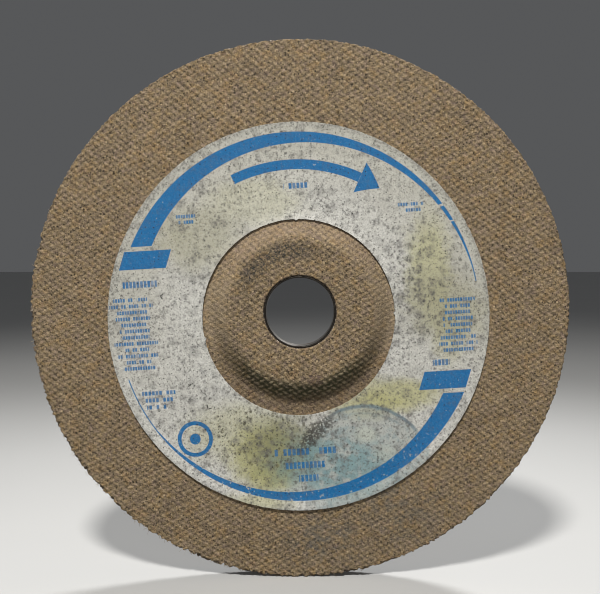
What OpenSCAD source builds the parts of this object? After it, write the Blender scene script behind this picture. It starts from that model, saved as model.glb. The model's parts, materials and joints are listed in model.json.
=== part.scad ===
// Reinforced grinding wheel with a depressed centre, in millimetres.
// The wheel turns about Y. The hub stands out towards -Y, where the label is glued,
// and the grinding face looks towards +Y. The origin is the middle of the arbor ring's bore.

/* [Wheel] */
// Outside diameter
wheel_d = 177.8; // [150:0.1:230]
// Thickness from the grinding face to the back, the same at the rim and in the hub
wheel_t = 6.35; // [4:0.05:8]
// Thickness of each full-size glass cloth
cloth_t = 0.5; // [0.3:0.05:0.8]

/* [Hub] */
// How far the hub is pressed out towards the back
hub_rise = 4.8; // [4:0.1:6]
// Diameter of the flat clamping face
hub_flat_d = 45; // [45:0.5:50]
// Diameter where the hub's slope runs out into the flat ring
hub_foot_d = 62; // [58:0.5:63]
// Diameter of the small glass cloth that backs the bottom of the recess
hub_cloth_d = 54; // [50:0.5:57]
// Thickness of the small glass cloth
hub_cloth_t = 0.5; // [0.3:0.05:0.8]

/* [Arbor ring] */
// Bore that the spindle flange's spigot goes into
bore_d = 22.23; // [20:0.01:25.4]
// Sheet thickness of the ring
ring_t = 0.6; // [0.4:0.05:0.9]
// Diameter of the ring's flange in the recess
ring_flange_d = 31; // [29:0.5:36]
// Inside radius of the bend from the flange into the bore
ring_bend_r = 0.5; // [0.3:0.05:0.8]
// How far the ring's end stays below the back of the hub
ring_setback = 0.3; // [0.1:0.05:0.5]
// Gap between the ring and the hole in the back cloth
back_cloth_gap = 0.25; // [0.1:0.05:0.4]

/* [Label] */
// Outside diameter of the paper label
label_d = 127; // [120:0.5:140]
// Diameter of the hole in the label
label_hole_d = 64; // [62:0.5:70]
// Thickness of the paper and its glue
label_t = 0.2; // [0.15:0.05:0.3]
// How far the label was glued off centre, to the side
label_shift_x = -0.45; // [-1:0.05:1]
// How far the label was glued off centre, up or down
label_shift_z = -2.1; // [-3:0.05:3]

/* [Hidden] */
$fn = 96;

ring_r = bore_d / 2 + ring_t;        // outside of the ring's collar
ring_bevel = 0.15;                   // bevel on the ring's free end
bend_steps = 4;                      // flats in the ring's bend
slope_steps = 10;                    // cones in the hub's slope

// Heights along the wheel's axis, measured from the origin towards the back (-Y)
bore_len = wheel_t + hub_cloth_t + ring_t - ring_setback - ring_bend_r - ring_bevel;
flange_h = -bore_len / 2 - ring_bend_r;                  // outer face of the ring's flange
recess_h = flange_h + ring_t + hub_cloth_t;              // bottom of the recess, under the small cloth
face_h = recess_h - hub_rise;                            // grinding face

// Levels through the wheel's thickness, measured from the grinding face
middle_low = (wheel_t - cloth_t) / 2;
middle_high = (wheel_t + cloth_t) / 2;
back_low = wheel_t - cloth_t;

// How far the wheel is pressed out at radius r: all of it in the hub, none outside
// the foot, and half a cosine wave between them
function lift(r) = r <= hub_flat_d / 2 ? hub_rise
    : r >= hub_foot_d / 2 ? 0
    : hub_rise * (1 + cos(180 * (2 * r - hub_flat_d) / (hub_foot_d - hub_flat_d))) / 2;

// Radii at which the profile of a layer from r_in to r_out has a point
function stations(r_in, r_out) = concat(
    [r_in],
    [for (i = [0 : slope_steps])
        let (r = (hub_flat_d + (hub_foot_d - hub_flat_d) * i / slope_steps) / 2)
        if (r > r_in && r < r_out) r],
    [r_out]);

// One pressed layer between two levels of the wheel's thickness
module layer(r_in, r_out, low, high) {
    radii = stations(r_in, r_out);
    last = len(radii) - 1;
    rotate([90, 0, 0])
        rotate_extrude()
            polygon(concat(
                [for (r = radii) [r, face_h + lift(r) + low]],
                [for (i = [last : -1 : 0]) [radii[i], face_h + lift(radii[i]) + high]]));
}

// Paper ring on the back, glued a little off centre, so that it climbs the hub's foot at the top
module label() {
    color([0.80, 0.79, 0.72])
        intersection() {
            layer(hub_flat_d / 2, wheel_d / 2, wheel_t, wheel_t + label_t);
            translate([label_shift_x, 0, label_shift_z])
                rotate([90, 0, 0])
                    difference() {
                        cylinder(h = wheel_d, d = label_d, center = true);
                        cylinder(h = wheel_d + 2, d = label_hole_d, center = true);
                    }
        }
}

// Open glass cloth pressed into the back, with the label on it
module back_glass_cloth() {
    color([0.60, 0.49, 0.35])
        layer(ring_r + back_cloth_gap, wheel_d / 2, back_low, wheel_t);
}

// Grain and resin between the back and middle cloths
module back_abrasive_layer() {
    color([0.42, 0.34, 0.26])
        layer(ring_r, wheel_d / 2, middle_high, back_low);
}

// Glass cloth in the middle of the wheel
module middle_glass_cloth() {
    color([0.70, 0.60, 0.44])
        layer(ring_r, wheel_d / 2, middle_low, middle_high);
}

// Grain and resin between the middle and face cloths
module face_abrasive_layer() {
    color([0.42, 0.34, 0.26])
        layer(ring_r, wheel_d / 2, cloth_t, middle_low);
}

// Glass cloth on the grinding side
module face_glass_cloth() {
    color([0.57, 0.46, 0.33])
        layer(ring_r, wheel_d / 2, 0, cloth_t);
}

// Small glass cloth on the bottom of the recess, under the ring's flange
module hub_glass_cloth() {
    color([0.66, 0.56, 0.41])
        layer(ring_r, hub_cloth_d / 2, -hub_cloth_t, 0);
}

// Stamped steel ring: a collar that lines the bore, bent out into a flange in the recess
module arbor_ring() {
    bore_r = bore_d / 2;
    bend_h = flange_h + ring_bend_r;
    end_h = bore_len / 2 + ring_bevel;
    color([0.62, 0.62, 0.60])
        rotate([90, 0, 0])
            rotate_extrude()
                polygon(concat(
                    [for (i = [0 : bend_steps])
                        let (a = 270 - 90 * i / bend_steps)
                        [bore_r + ring_bend_r + ring_bend_r * cos(a), bend_h + ring_bend_r * sin(a)]],
                    [[bore_r, bore_len / 2],
                     [bore_r + ring_bevel, end_h],
                     [ring_r, end_h],
                     [ring_r, flange_h + ring_t],
                     [ring_flange_d / 2, flange_h + ring_t],
                     [ring_flange_d / 2, flange_h]]));
}

label();
back_glass_cloth();
back_abrasive_layer();
middle_glass_cloth();
face_abrasive_layer();
face_glass_cloth();
hub_glass_cloth();
arbor_ring();
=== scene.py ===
import itertools
import json
import math
from types import SimpleNamespace

import bpy
import numpy as np
from mathutils import Matrix, Vector


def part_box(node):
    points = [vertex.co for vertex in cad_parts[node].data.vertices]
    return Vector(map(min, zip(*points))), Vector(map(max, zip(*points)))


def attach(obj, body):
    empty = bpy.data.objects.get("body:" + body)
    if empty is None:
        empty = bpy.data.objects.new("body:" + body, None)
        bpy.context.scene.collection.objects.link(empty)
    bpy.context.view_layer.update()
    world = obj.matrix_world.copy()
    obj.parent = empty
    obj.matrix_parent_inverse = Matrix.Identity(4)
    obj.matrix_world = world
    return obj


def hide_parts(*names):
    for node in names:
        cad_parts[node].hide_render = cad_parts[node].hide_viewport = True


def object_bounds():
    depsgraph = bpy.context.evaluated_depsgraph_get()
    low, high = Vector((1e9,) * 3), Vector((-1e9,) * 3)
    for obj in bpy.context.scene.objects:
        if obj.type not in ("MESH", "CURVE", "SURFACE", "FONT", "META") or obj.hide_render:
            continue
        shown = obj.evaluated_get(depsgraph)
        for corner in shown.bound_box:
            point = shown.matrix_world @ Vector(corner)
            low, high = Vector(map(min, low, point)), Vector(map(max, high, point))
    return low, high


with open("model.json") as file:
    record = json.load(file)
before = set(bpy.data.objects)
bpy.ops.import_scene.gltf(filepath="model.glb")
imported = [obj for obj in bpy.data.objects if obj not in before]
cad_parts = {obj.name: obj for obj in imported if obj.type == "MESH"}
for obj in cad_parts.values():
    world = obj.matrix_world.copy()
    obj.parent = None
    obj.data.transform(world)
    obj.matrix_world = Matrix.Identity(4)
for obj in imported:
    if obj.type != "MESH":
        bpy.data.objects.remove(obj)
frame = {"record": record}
cad_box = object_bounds()

# ---------------------------------------------------------------------------
# Sizes, in metres. The wheel's axis is Y, its label faces -Y and its grinding face +Y.
# ---------------------------------------------------------------------------
MM = 0.001

back_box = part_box("back_glass_cloth")
face_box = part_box("face_glass_cloth")
patch_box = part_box("hub_glass_cloth")
ring_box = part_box("arbor_ring")
label_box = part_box("label")

CLOTH_T = 0.5 * MM
WHEEL_R = back_box[1].x
FACE_Y = face_box[1].y
HUB_RISE = face_box[1].y - face_box[0].y - CLOTH_T
WHEEL_T = FACE_Y - back_box[0].y - HUB_RISE
HUB_FLAT_R = 22.5 * MM
HUB_FOOT_R = 31 * MM
SLOPE_FROM = HUB_FLAT_R - 0.5 * MM
SLOPE_TO = HUB_FOOT_R + 1 * MM
PATCH_R = patch_box[1].x
arbor_bore = frame["record"]["mounts"][0]
BORE_R = arbor_bore["dims"]["r_mm"] * MM
RING_T = 0.6 * MM
RING_R = BORE_R + RING_T
BACK_HOLE_R = RING_R + 0.25 * MM
FLANGE_R = ring_box[1].x
RING_BEND_R = 0.5 * MM
LABEL_X = (label_box[0].x + label_box[1].x) / 2
LABEL_Z = (label_box[0].z + label_box[1].z) / 2
LABEL_R = (label_box[1].x - label_box[0].x) / 2
LABEL_HOLE_R = 32 * MM
LABEL_T = 0.2 * MM


def lift(r):
    """How far the wheel is pressed out towards -Y at radius r."""
    t = np.clip((r - HUB_FLAT_R) / (HUB_FOOT_R - HUB_FLAT_R), 0, 1)
    return HUB_RISE * (1 + np.cos(np.pi * t)) / 2


def level_y(r, level):
    """y at radius r of the level that lies so far behind the grinding face."""
    return FACE_Y - level - lift(r)


# ---------------------------------------------------------------------------
# Relief: numbers worked out from the place of each point
# ---------------------------------------------------------------------------
def lumps(points, size, seed):
    """Smooth noise from -1 to 1, with lumps of about that size."""
    table = np.random.default_rng(seed).uniform(-1, 1, (32, 32, 32))
    place = points / size
    cell = np.floor(place).astype(int)
    part = place - cell
    part = part * part * (3 - 2 * part)
    total = np.zeros(len(points))
    for corner in itertools.product((0, 1), repeat=3):
        weight = np.prod(np.where(corner, part, 1 - part), axis=1)
        index = (cell + corner) % 32
        total += weight * table[index[:, 0], index[:, 1], index[:, 2]]
    return total


def grains(points, size, seed):
    """Rounded grains: 1 on the top of each and 0 in the gaps between them."""
    table = np.random.default_rng(seed).uniform(0, 1, (32, 32, 32, 3))
    place = points / size
    cell = np.floor(place).astype(int)
    nearest = np.full(len(points), 9.0)
    for step in itertools.product((-1, 0, 1), repeat=3):
        other = cell + step
        index = other % 32
        seed_point = other + table[index[:, 0], index[:, 1], index[:, 2]]
        nearest = np.minimum(nearest, np.sum((place - seed_point) ** 2, axis=1))
    return np.sqrt(np.clip(1 - nearest / 0.6, 0, 1))


def smooth(value, low, high):
    """0 below low, 1 above high and a smooth rise between them."""
    t = np.clip((value - low) / (high - low), 0, 1)
    return t * t * (3 - 2 * t)


def radius_of(points):
    """Distance of each point from the wheel's axis."""
    return np.hypot(points[:, 0], points[:, 2])


NUMBERS = (np.floor, np.cos, np.maximum)
CROWN_SHAPE = 1.3     # above 1, a thread's crown is narrower than half a wave


def thread_height(a, b, floor, cos, most):
    """Height of a plain weave, about 0 in its holes and 1 on its crowns, a and b thread pitches across
    its two sets of threads. It works on numbers and on material fields, with their own functions."""
    near_a, near_b = floor(a + 0.5), floor(b + 0.5)
    over_a = cos(b * math.pi) * cos(near_a * math.pi)
    over_b = cos(a * math.pi) * cos(near_b * math.pi)
    every_second_lower = cos(near_a * math.pi) * 0.1 + 0.9
    crown_a = abs(cos((a - near_a) * math.pi)) ** CROWN_SHAPE * (over_a * 0.45 + 0.55) * every_second_lower
    crown_b = abs(cos((b - near_b) * math.pi)) ** CROWN_SHAPE * (over_b * -0.45 + 0.55) * 0.85
    return most(crown_a, crown_b)


class Cloth:
    """A plain weave whose two sets of threads cross askew, as a stretched cloth does."""

    def __init__(self, pitch, angle_a, angle_b, depth, seed):
        self.pitch = pitch
        self.angles = (math.radians(angle_a), math.radians(angle_b))
        self.depth = depth
        self.seed = seed

    def threads(self, points):
        """How many pitches each point lies across the first and the second set of threads."""
        wander = 0.3 * self.pitch
        x = points[:, 0] + wander * lumps(points, 9 * self.pitch, self.seed + 1)
        z = points[:, 2] + wander * lumps(points, 9 * self.pitch, self.seed + 2)
        z = z * (1 - 0.25 * z)          # the threads lie closer at the bottom than at the top
        return [(z * math.cos(a) - x * math.sin(a)) / self.pitch for a in self.angles]

    def relief(self, points):
        """Metres that the resin-soaked cloth stands above its sheet, with lumps in the resin."""
        height = thread_height(*self.threads(points), *NUMBERS)
        resin = 0.35 * lumps(points, 0.8 * MM, self.seed + 3) + 0.2 * lumps(points, 2.4 * MM, self.seed + 4)
        return self.depth * (height - 0.5 + resin)


back_cloth = Cloth(pitch=1.73 * MM, angle_a=-36.5, angle_b=29.5, depth=0.16 * MM, seed=10)
face_net = Cloth(pitch=3.1 * MM, angle_a=8, angle_b=97, depth=0.24 * MM, seed=30)
patch_net = Cloth(pitch=2.2 * MM, angle_a=52, angle_b=-37, depth=0.2 * MM, seed=50)


def chips(points, seed):
    """Metres that the rim is broken away, in small teeth and a few bites, most at the lower left."""
    toward_low_left = -0.57 * points[:, 0] - 0.82 * points[:, 2]
    raggedness = 0.7 + 0.9 * smooth(toward_low_left, -0.3 * WHEEL_R, 0.8 * WHEEL_R)
    teeth = 0.55 * MM * (lumps(points, 0.6 * MM, seed) + 0.4)
    teeth += 0.15 * MM * (lumps(points, 2 * MM, seed + 1) + 0.5)
    bites = 0.5 * MM * smooth(lumps(points, 4.5 * MM, seed + 2), 0.45, 0.8)
    at_rim = smooth(radius_of(points), WHEEL_R - 1.6 * MM, WHEEL_R - 0.1 * MM)
    return (np.maximum(teeth * raggedness, 0) + bites) * at_rim


def grain_relief(seed):
    """Relief of bare grain and resin."""
    def relief(points):
        coarse = grains(points, 0.75 * MM, seed)
        fine = grains(points, 0.4 * MM, seed + 1)
        waves = lumps(points, 3 * MM, seed + 2)
        return 0.34 * MM * coarse + 0.12 * MM * fine - 0.22 * MM + 0.12 * MM * waves
    return relief


def steel_relief(points):
    """Shallow dents of stamped steel."""
    return 0.02 * MM * lumps(points, 5 * MM, 70) + 0.012 * MM * lumps(points, 1.5 * MM, 71)


# ---------------------------------------------------------------------------
# Meshes, most of them turned about the wheel's axis
# ---------------------------------------------------------------------------
def new_piece(name, points, faces, material):
    """A mesh object of that material, with smooth shading."""
    mesh = bpy.data.meshes.new(name)
    mesh.from_pydata(points, [], faces)
    mesh.shade_smooth()
    mesh.materials.append(material)
    piece = bpy.data.objects.new(name, mesh)
    bpy.context.collection.objects.link(piece)
    return piece


def band(first_a, count_a, first_b, count_b):
    """Faces between two rings of points, of which one may have twice as many points as the other."""
    if count_b == 2 * count_a:
        return [face[::-1] for face in band(first_b, count_b, first_a, count_a)]
    j = np.arange(count_b)
    k = (j + 1) % count_b
    b0, b1 = first_b + j, first_b + k
    if count_a == count_b:
        return np.stack([first_a + j, first_a + k, b1, b0], axis=1).tolist()
    a0, a1, a2 = first_a + 2 * j, first_a + 2 * j + 1, first_a + (2 * j + 2) % count_a
    corners = [(a0, a1, b0), (a1, b1, b0), (a1, a2, b1)]
    return [face for corner in corners for face in np.stack(corner, axis=1).tolist()]


def closed_mesh(name, rings, material, values=()):
    """A closed mesh through rings of points, with the last ring joined to the first.
    Each of the named values, one number a point, is left in the mesh for its material."""
    counts = [len(ring) for ring in rings]
    firsts = np.concatenate([[0], np.cumsum(counts)[:-1]])
    faces = []
    for i in range(len(rings)):
        j = (i + 1) % len(rings)
        faces += band(firsts[i], counts[i], firsts[j], counts[j])
    points = np.concatenate(rings)
    corners = np.array([face[:3] for face in faces])
    volume = np.sum(points[corners[:, 0]] * np.cross(points[corners[:, 1]], points[corners[:, 2]]))
    if volume < 0:
        faces = [face[::-1] for face in faces]
    piece = new_piece(name, points.tolist(), faces, material)
    for key in values:
        piece.data.attributes.new(key, "FLOAT", "POINT").data.foreach_set("value", values[key])
    return piece


def lathe(name, profile, relief, material, cloth=None, chip_seed=None):
    """A closed mesh turned about the wheel's axis from a closed profile, whose rows are
    (radius, y, points in the ring, share of the relief). A cloth leaves its thread numbers in the mesh
    for its material, and a chip seed breaks the rim's edge away."""
    r, y, count, share = (np.array(column) for column in zip(*profile))
    count = count.astype(int)
    along_r = np.roll(r, -1) - np.roll(r, 1)
    along_y = np.roll(y, -1) - np.roll(y, 1)
    length = np.hypot(along_r, along_y)
    turn = np.sign(np.sum(r * np.roll(y, -1) - np.roll(r, -1) * y))
    out_r, out_y = turn * along_y / length, -turn * along_r / length
    ring_of = np.repeat(np.arange(len(r)), count)
    angle = np.concatenate([np.arange(n) * 2 * np.pi / n for n in count])
    radial = np.stack([np.cos(angle), np.zeros(len(angle)), np.sin(angle)], axis=1)
    axial = np.array([[0.0, 1.0, 0.0]])
    points = radial * r[ring_of][:, None] + axial * y[ring_of][:, None]
    outward = radial * out_r[ring_of][:, None] + axial * out_y[ring_of][:, None]
    values = dict(zip(("thread_a", "thread_b"), cloth.threads(points))) if cloth else {}
    moved = points + outward * (relief(points) * share[ring_of])[:, None]
    if chip_seed:
        moved -= radial * chips(points, chip_seed)[:, None]
    rings = np.split(moved, np.cumsum(count)[:-1])
    return closed_mesh(name, rings, material, values)


def stations(zones):
    """Radii and ring counts for zones of (from, to, step, count), from the inside out."""
    rows = []
    for start, end, step, count in zones:
        steps = max(1, round((end - start) / step))
        rows += [(start + (end - start) * i / steps, count) for i in range(steps)]
    return rows


def hidden_side(inner_r, split_r, step, counts):
    """Zones of a side that doesn't show: few rings where it is flat, more where the hub bends it."""
    radii = (inner_r, SLOPE_FROM, SLOPE_TO, split_r, WHEEL_R)
    steps = (5 * MM, 1.5 * MM, step, step)
    return list(zip(radii, radii[1:], steps, counts))


def layer_profile(inner_r, outer_r, low, high, low_zones, high_zones,
                  wall_steps, low_share, high_share, wall_share):
    """Profile of one pressed layer, from the inside out along its low side and back along its high side.
    Low and high count from the grinding face. Each side has zones of (from, to, step, count), and the
    shares say how much of the relief each side and the outer wall show."""
    outer_count = low_zones[-1][3]
    inner_count = low_zones[0][3]
    rows = [(r, level_y(r, low), count, low_share) for r, count in stations(low_zones)]
    rows += [(outer_r, level_y(outer_r, low + (high - low) * i / wall_steps), outer_count, wall_share)
             for i in range(wall_steps + 1)]
    rows += [(r, level_y(r, high), count, high_share) for r, count in reversed(stations(high_zones))]
    rows += [(inner_r, level_y(inner_r, (low + high) / 2), inner_count, 0)]
    return rows


# ---------------------------------------------------------------------------
# Materials: colours and patterns worked out by nodes
# ---------------------------------------------------------------------------
class Field:
    """A number, vector or colour at each point of a surface, made by nodes. Numbers take part in
    sums, products and powers, with the field on the left."""

    tree = None

    def __init__(self, socket):
        self.socket = socket

    def math(self, operation, *others):
        node = Field.tree.nodes.new("ShaderNodeMath")
        node.operation = operation
        for entry, value in zip(node.inputs, (self, *others)):
            feed(entry, value)
        return Field(node.outputs[0])

    def __add__(self, other):
        return self.math("ADD", other)

    def __sub__(self, other):
        return self.math("SUBTRACT", other)

    def __mul__(self, other):
        return self.math("MULTIPLY", other)

    def __truediv__(self, other):
        return self.math("DIVIDE", other)

    def __pow__(self, other):
        return self.math("POWER", other)

    def __abs__(self):
        return self.math("ABSOLUTE")

    def inverse(self):
        return self * -1 + 1

    def most(self, other):
        return self.math("MAXIMUM", other)


def feed(entry, value):
    """Links a field to a node's input, or sets the input to a plain number or colour."""
    if isinstance(value, Field):
        Field.tree.links.new(value.socket, entry)
    elif isinstance(value, tuple) and len(value) == 3 and len(entry.default_value) == 4:
        entry.default_value = (*value, 1)
    else:
        entry.default_value = value


def rise(value, low, high):
    """0 where value is below low, 1 above high and a smooth rise between them."""
    node = Field.tree.nodes.new("ShaderNodeMapRange")
    node.interpolation_type = "SMOOTHSTEP"
    feed(node.inputs["Value"], value)
    feed(node.inputs["From Min"], low)
    feed(node.inputs["From Max"], high)
    return Field(node.outputs["Result"])


def between(value, low, high, soft):
    """1 where value is between low and high, with edges that reach as far as soft to both sides."""
    return rise(value, low - soft, low + soft) * rise(value, high - soft, high + soft).inverse()


def mix(share, colour_a, colour_b, blend="MIX"):
    """colour_a where share is 0 and colour_b where it is 1, or the two multiplied there."""
    node = Field.tree.nodes.new("ShaderNodeMix")
    node.data_type = "RGBA"
    node.blend_type = blend
    feed(node.inputs["Factor"], share)
    feed(node.inputs[6], colour_a)
    feed(node.inputs[7], colour_b)
    return Field(node.outputs[2])


def ramp(value, *stops):
    """Colour that runs through (value, colour) stops."""
    node = Field.tree.nodes.new("ShaderNodeValToRGB")
    feed(node.inputs[0], value)
    while len(node.color_ramp.elements) < len(stops):
        node.color_ramp.elements.new(0.5)
    for element, (position, colour) in zip(node.color_ramp.elements, stops):
        element.position = position
        element.color = (*colour, 1)
    return Field(node.outputs[0])


def place():
    """The point's place in the row's frame, as a vector field."""
    node = Field.tree.nodes.new("ShaderNodeTexCoord")
    return Field(node.outputs["Object"])


def split(vector):
    """The x, y and z of a vector field."""
    node = Field.tree.nodes.new("ShaderNodeSeparateXYZ")
    feed(node.inputs[0], vector)
    return [Field(output) for output in node.outputs]


def join(x, y, z):
    """A vector field from three numbers."""
    node = Field.tree.nodes.new("ShaderNodeCombineXYZ")
    for entry, value in zip(node.inputs, (x, y, z)):
        feed(entry, value)
    return Field(node.outputs[0])


def polar(x, z):
    """Distance from the middle, and the angle from the x axis in degrees, from -180 to 180."""
    return (x * x + z * z).math("SQRT"), z.math("ARCTAN2", x) * (180 / math.pi)


def noise(vector, size, seed, detail=2.0, roughness=0.5):
    """Soft noise around 0.5 with lumps of about that size, in the vector's own units."""
    node = Field.tree.nodes.new("ShaderNodeTexNoise")
    node.noise_dimensions = "4D"
    feed(node.inputs["Vector"], vector)
    feed(node.inputs["W"], float(seed))
    feed(node.inputs["Scale"], 1 / size)
    feed(node.inputs["Detail"], detail)
    feed(node.inputs["Roughness"], roughness)
    return Field(node.outputs["Fac"])


SEED_SHIFT = (17.3, 5.9, 11.1)     # how many cells one step of a seed moves a pattern


def cells(vector, size, seed, flat=False):
    """Distance from the nearest of scattered points, in sizes, and that point's random number.
    A flat pattern lies in the vector's first two coordinates."""
    shift = Field.tree.nodes.new("ShaderNodeVectorMath")
    feed(shift.inputs[0], vector)
    shift.inputs[1].default_value = tuple(seed * step * size for step in SEED_SHIFT)
    node = Field.tree.nodes.new("ShaderNodeTexVoronoi")
    node.voronoi_dimensions = "2D" if flat else "3D"
    feed(node.inputs["Vector"], Field(shift.outputs[0]))
    feed(node.inputs["Scale"], 1 / size)
    parts = Field.tree.nodes.new("ShaderNodeSeparateColor")
    feed(parts.inputs[0], Field(node.outputs["Color"]))
    return Field(node.outputs["Distance"]), Field(parts.outputs[0])


def spots(vector, size, seed, share, radius, soft, flat=False):
    """Scattered round spots: a share of the cells has one, of up to that radius in cell sizes."""
    distance, chance = cells(vector, size, seed, flat)
    reach = chance * (-0.5 * radius / share) + radius
    return rise(distance - reach, soft, -soft) * rise(chance, share + 0.01, share - 0.01)


def chance_at(vector):
    """A random number from 0 to 1 that stays the same wherever the vector is the same."""
    node = Field.tree.nodes.new("ShaderNodeTexWhiteNoise")
    feed(node.inputs["Vector"], vector)
    return Field(node.outputs["Value"])


FIELDS = (lambda f: f.math("FLOOR"), lambda f: f.math("COSINE"), Field.most)


def attribute(name):
    """A number that the mesh holds for each of its points."""
    node = Field.tree.nodes.new("ShaderNodeAttribute")
    node.attribute_name = name
    return Field(node.outputs["Fac"])


def bump(height, distance, strength=1.0, normal=None):
    """A normal tilted by a height field, where 1 is as high as that distance."""
    node = Field.tree.nodes.new("ShaderNodeBump")
    feed(node.inputs["Height"], height)
    node.inputs["Distance"].default_value = distance
    node.inputs["Strength"].default_value = strength
    if normal:
        feed(node.inputs["Normal"], normal)
    return Field(node.outputs[0])


def new_material(name):
    """A material with an empty Principled shader. The fields made next belong to it."""
    material = bpy.data.materials.new(name)
    material.use_nodes = True
    Field.tree = material.node_tree
    return material, material.node_tree.nodes["Principled BSDF"].inputs


def blob(x, z, centre, size_x, size_z, soft=0.5):
    """1 in the middle of an oval, fading out at its edge."""
    dx, dz = (x - centre[0]) / size_x, (z - centre[1]) / size_z
    return rise((dx * dx + dz * dz).math("SQRT"), 1 + soft, 1 - soft)


def cloth_material(name, tan, seed, stains=None):
    """Resin-soaked cloth: threads with light crowns and dark holes, partly wear and grime and partly painted
    highlight and painted shade, grit and handling dirt.
    """
    def shade(share):
        return tuple(share * c for c in tan)

    material, shader = new_material(name)
    where = place()
    height = thread_height(attribute("thread_a"), attribute("thread_b"), *FIELDS)
    fibre = noise(where, 0.45 * MM, seed, detail=1)
    tuft = noise(where, 0.9 * MM, seed + 1, detail=1)
    cloudy = noise(where, 7 * MM, seed + 2, detail=3, roughness=0.6)
    patch = noise(where, 3.2 * MM, seed + 3, detail=2)
    tint = noise(where, 1.3 * MM, seed + 7, detail=1)
    # Colour follows the weave's height: holes darker and crowns lighter, partly grime and wear and partly
    # painted shade in the holes and painted highlight on the crowns.
    tone = height * 0.66 + (fibre - 0.5) * 1.8 + (tuft - 0.5) * 0.65 + (cloudy - 0.5) * 0.4 + 0.16
    colour = ramp(tone, (0.0, shade(0.3)), (0.25, shade(0.66)), (0.55, shade(1.0)), (1.0, shade(1.6)))
    colour = mix(rise(patch, 0.5, 0.68), colour, (0.92, 0.92, 1.0), "MULTIPLY")
    colour = mix(rise(patch, 0.5, 0.34), colour, (1.05, 0.98, 0.88), "MULTIPLY")
    colour = mix(rise(tint, 0.52, 0.66), colour, (0.98, 0.95, 1.06), "MULTIPLY")
    colour = mix(rise(tint, 0.46, 0.32), colour, (1.04, 1.0, 0.88), "MULTIPLY")
    dark_grit = spots(where, 1.1 * MM, seed + 4, 0.3, 0.32, 0.08)
    pale_grit = spots(where, 1.3 * MM, seed + 5, 0.2, 0.28, 0.06)
    colour = mix(dark_grit * 0.85, colour, shade(0.1))
    colour = mix(pale_grit * 0.7, colour, shade(2.1))
    if stains:
        colour = stains(where, colour, height)
    feed(shader["Base Color"], colour)
    feed(shader["Roughness"], fibre * 0.3 + 0.6)
    shader["Specular IOR Level"].default_value = 0.25
    grit = noise(where, 0.5 * MM, seed + 6, detail=1)
    feed(shader["Normal"], bump(grit, 0.3 * MM, normal=bump(height, 0.05 * MM)))
    return material


def back_stains(where, colour, height):
    """What the back cloth shows: painted light on the hub's upper and side slopes, grime on its shoulder,
    painted shade at the low edge of its foot, a dark band in its foot that is partly grime and partly
    painted shade with a painted green tint of bounced light, the threads' crowns there painted lighter as
    painted highlights, a plum spot, and two smudges near the rim."""
    x, y, z = split(where)
    r, angle = polar(x, z)
    wobble = (noise(where, 7 * MM, 201, detail=3) - 0.5) * (7 * MM)
    ragged = rise(noise(where, 1.0 * MM, 202, detail=2), 0.36, 0.6)
    specks = rise(noise(where, 0.7 * MM, 203, detail=1), 0.53, 0.62)
    from_bottom = abs(angle + 88)

    # Painted light: the hub's upper and side slopes are painted lighter where the key and fill light fall on
    # them.
    upper_slope_painted_light = between(r, 25 * MM, 31.5 * MM, 1.2 * MM) * rise(angle, 20, 50) * rise(angle, 160, 130)
    side_slopes_painted_light = between(r, 24 * MM, 31.5 * MM, 1.2 * MM) * rise(abs(z), 19 * MM, 6 * MM)
    colour = mix(upper_slope_painted_light * 0.2, colour, (0.40, 0.30, 0.22))
    colour = mix(side_slopes_painted_light * 0.32, colour, (0.41, 0.325, 0.22))

    # Painted shade: the low edge of the hub's concave foot is darkened at the bottom, where shade falls.
    foot_edge_painted_shade = between(r, 28.5 * MM, 34 * MM, 1.5 * MM) * rise(from_bottom, 85, 35)
    colour = mix(foot_edge_painted_shade * (ragged * 0.25 + 0.2), colour, (0.085, 0.058, 0.042))

    upper_left = rise(angle, 60, 95) * rise(angle, 175, 140)
    shoulder = between(r + wobble * 0.5, 17.5 * MM, 22.8 * MM, 2 * MM) * upper_left
    colour = mix(shoulder * (specks * 0.65 + ragged * 0.28 + 0.14), colour, (0.045, 0.044, 0.038))

    # The dark band in the foot of the lower slope is partly grime in the thread gaps and partly painted
    # shade of the downward-facing slope, and its green tint is painted bounce light.
    foot = between(r + wobble * 0.5, 23.4 * MM, 28.6 * MM, 2.2 * MM) * rise(from_bottom, 80, 25)
    gaps = rise(height + (ragged - 0.5) * 0.5, 0.9, 0.3)
    crowns = rise(height + (ragged - 0.5) * 0.3, 0.6, 0.9)
    colour = mix(foot * (gaps * 0.65 + specks * 0.25 + 0.05), colour, (0.032, 0.04, 0.017))
    # Painted highlight: the threads' crowns in the shaded foot are painted lighter, as if the key light
    # grazed them.
    colour = mix(foot * crowns * (ragged * 0.55 + 0.2), colour, (0.44, 0.38, 0.24))

    plum = blob(x, z, (5 * MM, -22 * MM), 2.6 * MM, 2.4 * MM) * ragged
    colour = mix(plum * 0.6, colour, (0.10, 0.065, 0.06))
    torn = rise(noise(where, 3 * MM, 204, detail=3, roughness=0.65), 0.4, 0.62)
    smudge = blob(x + wobble * 2, z, (9 * MM, -76 * MM), 12 * MM, 7 * MM, 0.8)
    faint_smudge = blob(x + wobble, z + wobble * 2, (33 * MM, -66 * MM), 12 * MM, 10 * MM, 0.8) * 0.8
    return mix(smudge.most(faint_smudge) * torn * 0.5, colour, (0.085, 0.095, 0.095))


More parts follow.
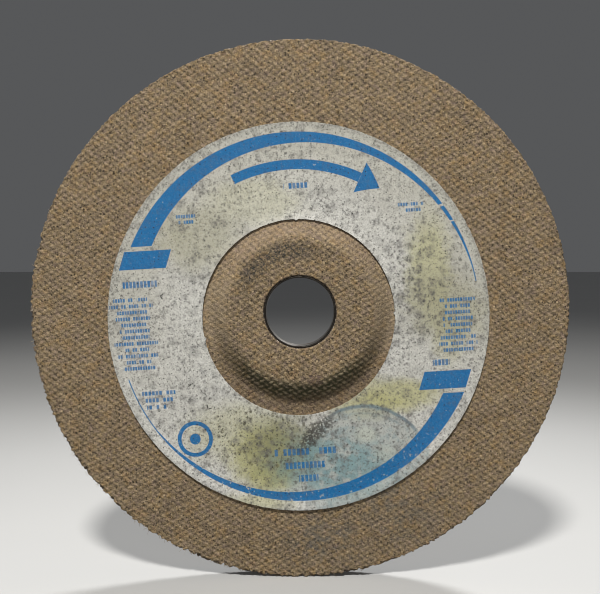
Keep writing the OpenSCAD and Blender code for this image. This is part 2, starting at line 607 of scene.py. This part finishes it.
def grain_material():
    """Coarse brown grain in resin, as a cut or worn rim shows it."""
    material, shader = new_material("grain_and_resin")
    where = place()
    distance, chance = cells(where, 0.62 * MM, 301)
    small, small_chance = cells(where, 0.3 * MM, 302)
    colour = mix(chance, (0.16, 0.12, 0.08), (0.34, 0.26, 0.18))
    colour = mix(rise(small_chance, 0.86, 0.9), colour, (0.62, 0.56, 0.47))
    colour = mix(rise(distance, 0.35, 0.62) * 0.8, colour, (0.07, 0.05, 0.035))
    colour = mix(rise(noise(where, 8 * MM, 303), 0.45, 0.7) * 0.5, colour, (0.12, 0.1, 0.08))
    feed(shader["Base Color"], colour)
    feed(shader["Roughness"], rise(small_chance, 0.5, 1.0) * -0.3 + 0.85)
    feed(shader["Normal"], bump(small, 0.1 * MM, 0.7, bump(distance, 0.2 * MM, 0.6)))
    return material


def steel_material():
    """Dull stamped steel with fine turning marks and brown stains, painted near-black at its end in the back
    as painted shade.
    """
    material, shader = new_material("worn_steel")
    where = place()
    x, y, z = split(where)
    r, _ = polar(x, z)
    turning = noise(join(r * 40, y * 40, 0.0), 3 * MM, 401, detail=4)
    stain = noise(where, 3.5 * MM, 402, detail=4, roughness=0.65)
    colour = mix(rise(stain, 0.4, 0.65), (0.20, 0.19, 0.175), (0.09, 0.078, 0.066))
    colour = mix(rise(stain, 0.6, 0.73) * 0.6, colour, (0.13, 0.075, 0.045))
    # Painted shade: the recessed back end of the ring is painted near-black.
    back_end_painted_shade = rise(y, ring_box[0].y + 1.2 * MM, ring_box[0].y + 0.4 * MM)
    feed(shader["Base Color"], mix(back_end_painted_shade * 0.9, colour, (0.02, 0.017, 0.014)))
    shader["Metallic"].default_value = 1.0
    feed(shader["Roughness"], rise(stain, 0.3, 0.75) * 0.25 + 0.45)
    feed(shader["Normal"], bump(turning, 0.03 * MM, 0.5))
    return material


# The label is drawn in its own coordinates, in millimetres from its middle and degrees from its right.
PAPER_STRETCH = (0.99, 1.01)     # wet paper grew upwards and shrank sideways
PRINT_TURN = math.radians(3.4)   # the print is turned a little on the wheel
INK_EDGE = 0.09                  # half the width of the ink's soft edge
LEFT_BOX = (-51.0, 18.8)
RIGHT_BOX = (48.9, -20.3)
BOX_SIZE = (15.6, 5.9)
BOX_SLANT = 0.36
BAND_CUT = 4.4                   # how far from a box's middle the band beside it ends
BLACK_DIRT = (0.03, 0.028, 0.026)


def label_coordinates(where):
    """Millimetres to the right of the label's middle and above it, on the unstretched paper."""
    x, y, z = split(where)
    x = (x - LABEL_X) * (1000 / PAPER_STRETCH[0])
    z = (z - LABEL_Z) * (1000 / PAPER_STRETCH[1])
    return x, z


def inked_under(value, limit):
    """1 where the value is under the limit, with the ink's soft edge."""
    return rise(value, limit + INK_EDGE, limit - INK_EDGE)


def crescent(r, angle, outer_r, width, blunt, sharp, vanishing):
    """A band inside the outer radius, as wide as given at the blunt angle. It tapers as if to nothing
    at the vanishing angle, but stays a hairline up to the sharp one, where it ends."""
    tapered = (angle - vanishing) * (width / (blunt - vanishing))
    hairline = 0.35
    thick = tapered.most(hairline)
    beyond_inner_r = rise(r + thick, outer_r - INK_EDGE, outer_r + INK_EDGE)
    return inked_under(r, outer_r) * beyond_inner_r * rise(angle, sharp, sharp + 0.3)


def turned(x, z, centre, turn=PRINT_TURN):
    """Coordinates from a centre, turned with the print or by another angle."""
    cos, sin = math.cos(turn), math.sin(turn)
    dx, dz = x - centre[0], z - centre[1]
    return dx * cos + dz * sin, dz * cos - dx * sin


def slanted_box(x, z, centre):
    """A plain filled box that leans to the right."""
    u, v = turned(x, z, centre)
    width, height = BOX_SIZE
    return inked_under(abs(u - v * BOX_SLANT), width / 2) * inked_under(abs(v), height / 2)


def dashes(x, z, seed, centre, width, rows, pitch, letter=0.85, lean=0.0, weight=0.58):
    """Rows of short ink dashes that stand in for small print and spell nothing. The letter is the step
    from dash to dash, the lean shifts each row, and the weight is a dash's share of the rows' pitch."""
    u, v = turned(x, z, centre)
    row = (v / pitch + rows / 2).math("FLOOR")
    from_row = abs(v / pitch + rows / 2 - row - 0.5)
    u = u + row * lean
    step = (u / letter).math("FLOOR")
    from_dash = abs(u / letter - step - 0.5)
    chance = chance_at(join(step * 7.31, row * 3.17, float(seed)))
    shortening = chance_at(join(row * 5.7, float(seed), 2.0))
    row_end = shortening * (width * -0.28) + width / 2
    block_end = pitch * rows / 2
    inside = inked_under(abs(u), row_end) * rise(abs(v), block_end, block_end - 0.05)
    shape = rise(from_dash, 0.44, 0.3) * rise(from_row, weight / 2 + 0.05, weight / 2 - 0.05)
    return inside * shape * rise(chance, 0.12, 0.16) * (chance * 0.25 + 0.75)


def bands(x, z):
    """The two crescents. Each is cut off beside a box, and the upper one is worn through twice."""
    r, angle = polar(x, z)
    whole_turn = rise(angle, 0.0, -0.001) * 360 + angle
    over_left_box = rise(turned(x, z, LEFT_BOX)[1], BAND_CUT - 0.1, BAND_CUT + 0.1).most(rise(x, -1, 1))
    upper = crescent(r, angle, 60.3, width=6.4, blunt=158.0, sharp=11.4, vanishing=7.0) * over_left_box
    for middle, half in ((38.4, 0.4), (32.5, 0.22)):
        askew = angle + (r - 58) * 0.35
        upper = upper * (between(askew, middle - half, middle + half, 0.12) * -0.9 + 1)
    under_right_box = rise(turned(x, z, RIGHT_BOX)[1], 0.1 - BAND_CUT, -0.1 - BAND_CUT).most(rise(x, 1, -1))
    lower = crescent(r, whole_turn, 60.4, width=6.3, blunt=334.8, sharp=199.6, vanishing=211.0)
    return upper.most(lower * under_right_box)


def turning_arrow(x, z):
    """A plain curved arrow that shows which way the wheel turns."""
    r, angle = polar(x, z)
    middle_r, half_width = 49.8, 1.6
    tip, neck, tail = 57.5, 66.0, 116.0
    shaft = between(r, middle_r - half_width, middle_r + half_width, INK_EDGE)
    shaft = shaft * between(angle, neck, tail, 0.1)
    head = inked_under(abs(r - middle_r) - (angle - tip) * 0.62, 0.0) * between(angle, tip, neck, 0.1)
    return shaft.most(head)


def round_sign(x, z, centre=(-34.6, -39.9)):
    """A plain ring with a dot."""
    r, _ = polar(x - centre[0], z - centre[1])
    return between(r, 4.6, 5.9, INK_EDGE).most(rise(r, 1.9, 1.7))


def label_print(x, z):
    """All the ink on the label: two crescents, two boxes, a turning arrow, a round sign and dashes."""
    ink = bands(x, z)
    for centre in (LEFT_BOX, RIGHT_BOX):
        ink = ink.most(slanted_box(x, z, centre))
    ink = ink.most(turning_arrow(x, z)).most(round_sign(x, z))
    bold = {"letter": 1.2, "weight": 0.7}
    typed = {"letter": 1.35, "weight": 0.75}
    blocks = (((-0.9, 42.9), 15.5, 1, 2.6, {"letter": 1.3, "weight": 0.7}),
              ((-37.4, 32.0), 8.4, 2, 1.9, {}),
              ((37.0, 36.0), 11.5, 2, 1.9, {}),
              ((-52.8, 10.8), 13.4, 1, 3.0, bold),
              ((-53.6, -5.4), 15.5, 12, 2.04, {"lean": 0.16}),
              ((52.8, -2.2), 14.5, 9, 2.04, {"lean": -0.05}),
              ((-46.6, -27.0), 12.0, 3, 2.3, {"letter": 1.2}),
              ((47.6, -14.6), 11.0, 1, 2.8, bold),
              ((2.2, -44.0), 27.0, 1, 2.9, {"letter": 1.5, "weight": 0.75}),
              ((2.2, -48.5), 19.5, 1, 2.9, typed),
              ((3.4, -52.8), 11.0, 1, 2.9, typed))
    for seed, (centre, width, rows, pitch, style) in enumerate(blocks, 1):
        ink = ink.most(dashes(x, z, seed, centre, width, rows, pitch, **style))
    return ink


def label_fields():
    """Places and noises that the label's paper, stains, ink and mould share."""
    where = place()
    x, z = label_coordinates(where)
    r, _ = polar(x, z)
    return SimpleNamespace(
        where=where, x=x, z=z, r=r,
        fibre=noise(where, 0.5 * MM, 501, detail=3, roughness=0.6),
        grime=noise(where, 0.7 * MM, 512, detail=2, roughness=0.6),
        wobble=(noise(where, 8 * MM, 503, detail=3) - 0.5) * 14,
        edge=(noise(where, 3.5 * MM, 504, detail=3, roughness=0.6) - 0.5) * 12)


def aged_paper(at):
    """Clouded matt paper, a little darker towards its upper rim."""
    paper = ramp(at.fibre, (0.25, (0.40, 0.39, 0.35)), (0.5, (0.62, 0.61, 0.56)), (0.75, (0.78, 0.77, 0.72)))
    cloudy = noise(at.where, 6 * MM, 502, detail=4, roughness=0.6)
    paper = mix(rise(cloudy, 0.42, 0.7) * 0.35, paper, (0.47, 0.46, 0.41))
    aged = rise(at.r + at.wobble, 36, 58) * rise(at.z, -40, 10)
    return mix(aged * 0.45, paper, (0.43, 0.415, 0.33))


def yellow_stains(paper, at):
    """Yellow stains, each as (middle, half sizes, strength), and one olive and two brownish ones."""
    stains = (((43, 15), (7, 17), 0.8), ((33, -25), (14, 5), 1.0), ((-11, -46), (11, 11), 1.1),
              ((-9, -52), (7, 4), 1.0), ((-19, -38), (17, 9), 0.55), ((-15, 38), (15, 7), 0.4),
              ((52, 2), (9, 10), 0.4), ((-33, 26), (13, 9), 0.4), ((50, -6), (5, 9), 0.5),
              ((23, -29), (11, 4), 0.9), ((-14, -61), (11, 3), 0.7))
    for middle, half, strength in stains:
        oval = blob(at.x + at.edge, at.z + at.wobble * 0.5, middle, *half)
        paper = mix(oval * strength * 0.75, paper, (0.47, 0.45, 0.20))
    paper = mix(blob(at.x + at.edge, at.z + at.edge, (-4, -43), 13, 10) * 0.68, paper, (0.20, 0.20, 0.105))
    paper = mix(blob(at.x + at.edge, at.z + at.wobble, (-32, 25), 15, 10) * 0.3, paper, (0.27, 0.25, 0.19))
    return mix(blob(at.x + at.edge, at.z + at.wobble, (46, 4), 14, 12) * 0.4, paper, (0.27, 0.255, 0.19))


def water_mark(paper, at):
    """A bluish pool at the lower right, with a darker line round its upper edge and two pale islands."""
    pool_x, pool_z = (at.x - 22) / 24, (at.z + 55) / 26
    pool_r = polar(pool_x, pool_z)[0] + at.wobble * 0.004
    pool = rise(pool_r, 1.03, 0.97) * rise(at.x + at.edge * 0.7, 0, 12)
    paper = mix(pool * 0.6, paper, (0.40, 0.43, 0.40))
    core = blob(at.x + at.edge, at.z + at.wobble * 0.6, (13, -49), 19, 10, 0.6)
    core = core * rise(noise(at.where, 3 * MM, 505, detail=3), 0.30, 0.55)
    paper = mix(core * 0.75, paper, (0.17, 0.32, 0.34))
    wisps = rise(noise(at.where, 2.2 * MM, 513, detail=3, roughness=0.65), 0.50, 0.62) * pool
    paper = mix(wisps * 0.35, paper, (0.20, 0.31, 0.34))
    tide = between(pool_r + (at.fibre - 0.5) * 0.05, 0.975, 1.02, 0.016)
    tide = tide * rise(pool_z, 0.5, 0.8) * rise(at.x, 8, 14)
    paper = mix(tide * 0.8, paper, (0.13, 0.20, 0.24))
    inner_tide = between(pool_r, 0.9, 0.92, 0.014) * rise(pool_z, 0.55, 0.8) * rise(at.x, 10, 20)
    paper = mix(inner_tide * 0.35, paper, (0.18, 0.26, 0.29))
    large_island = blob(at.x + at.edge * 0.2, at.z, (22.6, -38.4), 3.8, 2.5)
    small_island = blob(at.x + at.edge * 0.2, at.z, (29, -44.5), 3.4, 2.4)
    paper = mix(large_island, paper, (0.52, 0.55, 0.48))
    return mix(small_island * 0.6, paper, (0.50, 0.53, 0.46))


def worn_ink(ink, at):
    """The ink's strength where wear has left it, with pale flecks near the label's bottom."""
    worn = rise(noise(at.where, 0.45 * MM, 506, detail=3), 0.24, 0.36)
    scuffs = rise(noise(at.where, 2.6 * MM, 507, detail=4, roughness=0.7), 0.24, 0.33)
    flecks = rise(noise(at.where, 1.3 * MM, 515, detail=3, roughness=0.7), 0.41, 0.35) * rise(at.z, -30, -52)
    return ink * worn * scuffs * (flecks * -0.8 + 1) * 0.97


def mould(printed, ink, at):
    """Fine dots, a peppering, round blots of two sizes, and brown and black specks. The blots crowd in
    some places, and all but the black specks show less on ink than on bare paper."""
    x, z = at.x, at.z
    flat = join(x, z, 0.0)
    crowd = rise(noise(at.where, 13 * MM, 508, detail=3), 0.3, 0.6) * 0.7
    crowd = crowd.most(blob(x, z, (36, 8), 12, 24)).most(blob(x, z, (-42, -8), 14, 26) * 0.4)
    crowd = crowd.most(blob(x, z, (-4, -40), 20, 12))
    ragged = rise(at.grime, 0.34, 0.6)
    dots = rise(noise(at.where, 0.42 * MM, 514, detail=1), 0.58, 0.68)
    pepper = rise(at.grime, 0.55, 0.68)
    blots = spots(flat, 1.7, 9, 0.6, 0.42, 0.2, flat=True) * (crowd * 0.7 + 0.3)
    large = spots(flat, 3.6, 10, 0.6, 0.44, 0.24, flat=True) * crowd
    brown = spots(flat, 1.8, 14, 0.7, 0.34, 0.1, flat=True) * blob(x, z, (-12, -39), 20, 13)
    black = spots(flat, 1.4, 11, 0.3, 0.16, 0.05, flat=True)
    bare = ink * -0.7 + 1
    printed = mix(dots * bare * 0.5, printed, (0.17, 0.165, 0.15))
    printed = mix(pepper * bare * 0.6, printed, (0.15, 0.145, 0.13))
    printed = mix(blots * ragged * bare * 0.75, printed, (0.10, 0.097, 0.092))
    printed = mix(large * (ragged * 0.6 + 0.4) * bare * 0.75, printed, (0.13, 0.125, 0.118))
    printed = mix(brown * ragged * bare * 0.75, printed, (0.085, 0.075, 0.045))
    return mix(black * 0.85, printed, BLACK_DIRT)


def scars(printed, at):
    """Four small dark nicks, a dark smear under the hub, and dirt along the outer edge."""
    nicks = (((-35.6, -22.0), 0), ((-25.0, -38.7), 200), ((-30.0, -29.5), 150), ((-45.5, 7.0), 80))
    for centre, turn in nicks:
        u, v = turned(at.x, at.z, centre, math.radians(turn))
        nick = rise(abs(v + abs(u) * 0.9 - 0.5), 0.4, 0.15) * rise(abs(u), 1.1, 0.8)
        printed = mix(nick * rise(at.grime, 0.3, 0.45) * 0.9, printed, BLACK_DIRT)
    across, along = turned(at.x, at.z, (5.8, -37.6), math.radians(46))
    smear = blob(across + at.edge * 0.3, along + at.edge * 0.3, (0, 0), 8.5, 2.6)
    printed = mix(smear * rise(at.grime, 0.36, 0.5) * 0.8, printed, (0.06, 0.056, 0.05))
    rim_dirt = rise(at.r + at.wobble * 0.05, 60.6, 63.4) * rise(at.grime, 0.3, 0.65)
    more_at_top = rise(at.z, -20, 20) * 0.7 + 0.3
    return mix(rim_dirt * more_at_top * 0.6, printed, (0.17, 0.165, 0.15))


def label_material():
    """Old matt paper with blue print, grey mould spots, yellow stains and a water mark."""
    material, shader = new_material("label_paper")
    at = label_fields()
    paper = water_mark(yellow_stains(aged_paper(at), at), at)
    ink = label_print(at.x, at.z)
    blue = mix(rise(at.fibre, 0.35, 0.75), (0.004, 0.130, 0.34), (0.012, 0.182, 0.43))
    printed = mix(worn_ink(ink, at), paper, blue)
    feed(shader["Base Color"], scars(mould(printed, ink, at), at))
    feed(shader["Roughness"], ink * -0.12 + 0.8)
    shader["Specular IOR Level"].default_value = 0.15
    feed(shader["Normal"], bump(at.fibre, 0.12 * MM))
    return material


def floor_material():
    """Faintly clouded pale paint."""
    material, shader = new_material("pale_floor")
    faint = noise(place(), 0.12, 601, detail=3)
    feed(shader["Base Color"], mix(faint, (0.52, 0.52, 0.51), (0.56, 0.56, 0.55)))
    shader["Roughness"].default_value = 0.8
    return material


# ---------------------------------------------------------------------------
# Pieces
# ---------------------------------------------------------------------------
def stand_for(piece, node):
    """The piece rides on the wheel and stands in for that node, which it hides."""
    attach(piece, "root")
    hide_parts(node)


def make_back_cloth(material):
    """The cloth on the label's side, with its full relief where it shows."""
    covered_r, fine = 60.8 * MM, 0.38 * MM
    hidden = hidden_side(BACK_HOLE_R, covered_r, 20 * MM, (352, 704, 704, 1408))
    shown = [(BACK_HOLE_R, 20 * MM, fine, 352), (20 * MM, 33 * MM, fine, 704),
             (33 * MM, covered_r, 2.4 * MM, 704), (covered_r, WHEEL_R, fine, 1408)]
    profile = layer_profile(BACK_HOLE_R, WHEEL_R, WHEEL_T - CLOTH_T, WHEEL_T, hidden, shown, 3, 0, 1, 1)
    return lathe("woven_back", profile, back_cloth.relief, material, back_cloth, 21)


def make_face_cloth(material):
    """The open net and grain of the grinding face."""
    grit = grain_relief(43)

    def net_and_grit(points):
        return face_net.relief(points) + 0.45 * grit(points)

    split_r, fine = 44 * MM, 0.55 * MM
    shown = [(RING_R, 22 * MM, fine, 256), (22 * MM, split_r, fine, 512), (split_r, WHEEL_R, fine, 1024)]
    hidden = hidden_side(RING_R, split_r, 20 * MM, (256, 512, 512, 1024))
    profile = layer_profile(RING_R, WHEEL_R, 0, CLOTH_T, shown, hidden, 2, 1, 0, 1)
    return lathe("netted_face", profile, net_and_grit, material, face_net, 41)


def make_hub_patch(material):
    """The small cloth in the bottom of the recess, finer outside the steel ring's flange."""
    fine_r, count = 17 * MM, 320
    sides = [(RING_R, fine_r, 1.8 * MM, count), (fine_r, PATCH_R, 0.42 * MM, count)]
    profile = layer_profile(RING_R, PATCH_R, -CLOTH_T, 0, sides, sides, 2, 1, 0, 1)
    return lathe("woven_hub_patch", profile, patch_net.relief, material, patch_net)


def inner_side():
    """Zones of the sides of a layer inside the wheel, of which only the outer wall shows."""
    return hidden_side(RING_R, 60 * MM, 14 * MM, (448, 448, 896, 1792))


def make_grain_layer(name, low, high, seed, material):
    """One layer of grain, whose relief shows in the rim."""
    profile = layer_profile(RING_R, WHEEL_R, low, high, inner_side(), inner_side(), 9, 0, 0, 1)
    return lathe(name, profile, grain_relief(seed), material, None, seed + 10)


def make_middle_cloth(material):
    """The middle cloth, whose cut edge shows in the rim."""
    low = (WHEEL_T - CLOTH_T) / 2
    profile = layer_profile(RING_R, WHEEL_R, low, low + CLOTH_T, inner_side(), inner_side(), 2, 0, 0, 0)
    return lathe("woven_middle", profile, face_net.relief, material, face_net, 81)


def make_ring(material):
    """The steel ring: a collar in the bore, bent out into a flange in the recess."""
    flange_y, end_y = ring_box[1].y, ring_box[0].y
    under_y = flange_y - RING_T
    bend_y = flange_y - RING_BEND_R
    count, edge = 256, 0.15 * MM
    bend_steps, collar_steps = 6, 4
    rows = [(BORE_R, end_y + edge)]
    rows += [(BORE_R, end_y + (bend_y - end_y) * i / collar_steps) for i in range(1, collar_steps)]
    for i in range(bend_steps + 1):
        turn = math.pi / 2 * i / bend_steps
        rows.append((BORE_R + RING_BEND_R * (1 - math.cos(turn)), bend_y + RING_BEND_R * math.sin(turn)))
    rows += [(r, flange_y) for r in np.linspace(BORE_R + RING_BEND_R + 0.6 * MM, FLANGE_R - edge, 6)]
    rows += [(FLANGE_R, flange_y - edge), (FLANGE_R, under_y + edge), (FLANGE_R - edge, under_y)]
    rows += [(RING_R, under_y), (RING_R, end_y + edge), (RING_R - edge, end_y), (BORE_R + edge, end_y)]
    profile = [(r, y, count, 1) for r, y in rows]
    return lathe("steel_ring", profile, steel_relief, material)


def make_label(material):
    """Thin paper that follows the back. It lifts at the upper side of its hole, curls along its lower
    edge, and has three small nicks at the hole."""
    count = 960
    angle = np.arange(count) * 2 * np.pi / count
    nick_angles = np.radians([91.7, 192.5, 2.8])
    nick_depth, nick_width = 0.5 * MM, 0.45 * MM

    def ring(share, under):
        """One ring of points, at a share of the way from the hole to the outer edge."""
        edge = np.stack([np.cos(angle), np.zeros(count), np.sin(angle)], axis=1)
        fray = 0.07 * MM * lumps(edge * LABEL_R, 0.9 * MM, 91)
        hole = LABEL_HOLE_R + fray
        for nick in nick_angles:
            off = (angle - nick + np.pi) % (2 * np.pi) - np.pi
            hole = hole - nick_depth * np.exp(-(off * LABEL_HOLE_R / nick_width) ** 2)
        rho = hole + (LABEL_R + fray - hole) * share
        points = edge * rho[:, None]
        points[:, 0] = LABEL_X + PAPER_STRETCH[0] * points[:, 0]
        points[:, 2] = LABEL_Z + PAPER_STRETCH[1] * points[:, 2]
        lifted = smooth(np.sin(angle), -0.35, 0.5) * smooth(rho, LABEL_HOLE_R + 3 * MM, LABEL_HOLE_R)
        curled = smooth(-np.sin(angle + 0.2), -0.3, 0.5) * smooth(rho, LABEL_R - 4 * MM, LABEL_R)
        cockle = 0.05 * MM * lumps(points, 7 * MM, 92) + 0.03 * MM * lumps(points, 2.5 * MM, 93)
        gap = 0.12 * MM + 0.45 * MM * lifted + 0.55 * MM * curled + cockle
        top = level_y(radius_of(points), WHEEL_T) - gap
        points[:, 1] = top if under else top - LABEL_T
        return points

    # The underside, which doesn't show, has every third ring of the upper side
    shares = np.concatenate([[0, 0.004], np.linspace(0.03, 0.97, 32), [0.996, 1]])
    rings = [ring(share, False) for share in shares] + [ring(share, True) for share in shares[::-3]]
    return closed_mesh("paper_label", rings, material)


def make_loose_fibres(material):
    """Short ends of thread that stand out of the worn rim, most at the lower left. Each is a bent
    three-sided tube that gets thinner towards its free end."""
    draw = np.random.default_rng(95)
    fibres, steps, sides = 110, 3, 3
    points, faces = [], []
    for _ in range(fibres):
        angle = math.radians(draw.normal(222, 26))
        out = Vector((math.cos(angle), 0, math.sin(angle)))
        level = WHEEL_T - draw.uniform(0, 0.4) * MM
        start = out * (WHEEL_R - 0.6 * MM) + Vector((0, level_y(WHEEL_R, level), 0))
        heading = (out + Vector(draw.normal(0, 0.45, 3))).normalized()
        bend = Vector(draw.normal(0, 0.35, 3))
        length = draw.uniform(0.6, 1.25) * MM
        thick = draw.uniform(0.06, 0.1) * MM
        side = heading.orthogonal().normalized()
        first = len(points)
        for step in range(steps + 1):
            part = step / steps
            centre = start + (heading + bend * part) * (length * part)
            for turn in range(sides):
                spoke = Matrix.Rotation(turn * 2 * math.pi / sides, 3, heading) @ side
                points.append(centre + spoke * (thick * (1 - 0.6 * part)))
        for step in range(steps):
            for turn in range(sides):
                a = first + sides * step + turn
                b = first + sides * step + (turn + 1) % sides
                faces.append((a, b, b + sides, a + sides))
        last = first + sides * steps
        faces += [tuple(range(first + sides - 1, first - 1, -1)), tuple(range(last, last + sides))]
    return new_piece("loose_fibres", points, faces, material)


def fibre_material():
    """Single pale threads, duller where resin clings to them."""
    material, shader = new_material("loose_thread")
    resin = noise(place(), 1.5 * MM, 701)
    feed(shader["Base Color"], mix(rise(resin, 0.4, 0.6), (0.50, 0.43, 0.32), (0.27, 0.20, 0.12)))
    shader["Roughness"].default_value = 0.7
    return material


woven = cloth_material("woven_cloth_back", (0.245, 0.184, 0.11), 101, back_stains)
netted = cloth_material("woven_cloth_face", (0.21, 0.16, 0.11), 121)
grain = grain_material()
steel = steel_material()

stand_for(make_back_cloth(woven), "back_glass_cloth")
stand_for(make_face_cloth(netted), "face_glass_cloth")
stand_for(make_hub_patch(netted), "hub_glass_cloth")
stand_for(make_middle_cloth(netted), "middle_glass_cloth")
stand_for(make_grain_layer("grain_back", (WHEEL_T + CLOTH_T) / 2, WHEEL_T - CLOTH_T, 45, grain),
          "back_abrasive_layer")
stand_for(make_grain_layer("grain_face", CLOTH_T, (WHEEL_T - CLOTH_T) / 2, 47, grain),
          "face_abrasive_layer")
fibres = make_loose_fibres(fibre_material())
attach(fibres, "root")
stand_for(make_ring(steel), "arbor_ring")
stand_for(make_label(label_material()), "label")

# ---------------------------------------------------------------------------
# Stage, light and camera
# ---------------------------------------------------------------------------
def make_floor():
    """A wide flat pale floor. It throws no diffuse light back onto the wheel."""
    count, reach = 96, 14
    angle = np.arange(count) * 2 * np.pi / count
    points = [(reach * math.cos(a), reach * math.sin(a), cad_box[0].z) for a in angle]
    floor = new_piece("floor", points, [tuple(range(count))], floor_material())
    floor.visible_diffuse = False


def add_light(kind, name, position, power, colour=(1, 1, 1)):
    """A light that points at the wheel."""
    data = bpy.data.lights.new(name, kind)
    data.energy = power
    data.color = colour
    light = bpy.data.objects.new(name, data)
    light.location = position
    light.rotation_euler = (-Vector(position)).to_track_quat("-Z", "Y").to_euler()
    bpy.context.collection.objects.link(light)
    return data


def add_spot(name, position, power, pool_r, source_r, colour=(1, 1, 1)):
    """A soft spot light whose pool of light has that radius at the wheel and fades out towards its edge."""
    data = add_light("SPOT", name, position, power, colour)
    data.spot_size = 2 * math.atan(pool_r / Vector(position).length)
    data.spot_blend = 1
    data.shadow_soft_size = source_r


make_floor()
add_spot("key", (-0.14, -0.70, 0.97), power=62, pool_r=0.75, source_r=0.085, colour=(1, 0.98, 0.95))
add_spot("back_light", (0.45, 0.85, 1.0), power=60, pool_r=0.45, source_r=0.15)
front_fill = add_light("AREA", "front_fill", (0.2, -2.2, 0.3), power=12)
front_fill.shape = "DISK"
front_fill.size = 1.6

scene = bpy.context.scene
world = bpy.data.worlds.new("studio")
world.use_nodes = True
world.node_tree.nodes["Background"].inputs["Color"].default_value = (0.95, 0.97, 1.0, 1)
world.node_tree.nodes["Background"].inputs["Strength"].default_value = 0.1
scene.world = world
scene.view_settings.view_transform = "Standard"
scene.cycles.filter_width = 1.0

# The wheel fills this share of the frame's width, seen from a little above its axis
FILL = 0.8985
CAMERA_ABOVE = math.radians(3.3)
AIM_ABOVE_BORE = 4.9 * MM
camera_data = bpy.data.cameras.new("camera")
camera_data.lens = 47.3
camera_data.sensor_width = 36
rim_y = level_y(WHEEL_R, WHEEL_T)
distance = camera_data.lens / camera_data.sensor_width * 2 * WHEEL_R / FILL
camera = bpy.data.objects.new("camera", camera_data)
camera.location = (0, rim_y - distance * math.cos(CAMERA_ABOVE), distance * math.sin(CAMERA_ABOVE))
aim = Vector((0, back_box[0].y, AIM_ABOVE_BORE)) - camera.location
camera.rotation_euler = aim.to_track_quat("-Z", "Y").to_euler()
camera_data.clip_start = 0.01
bpy.context.collection.objects.link(camera)
scene.camera = camera
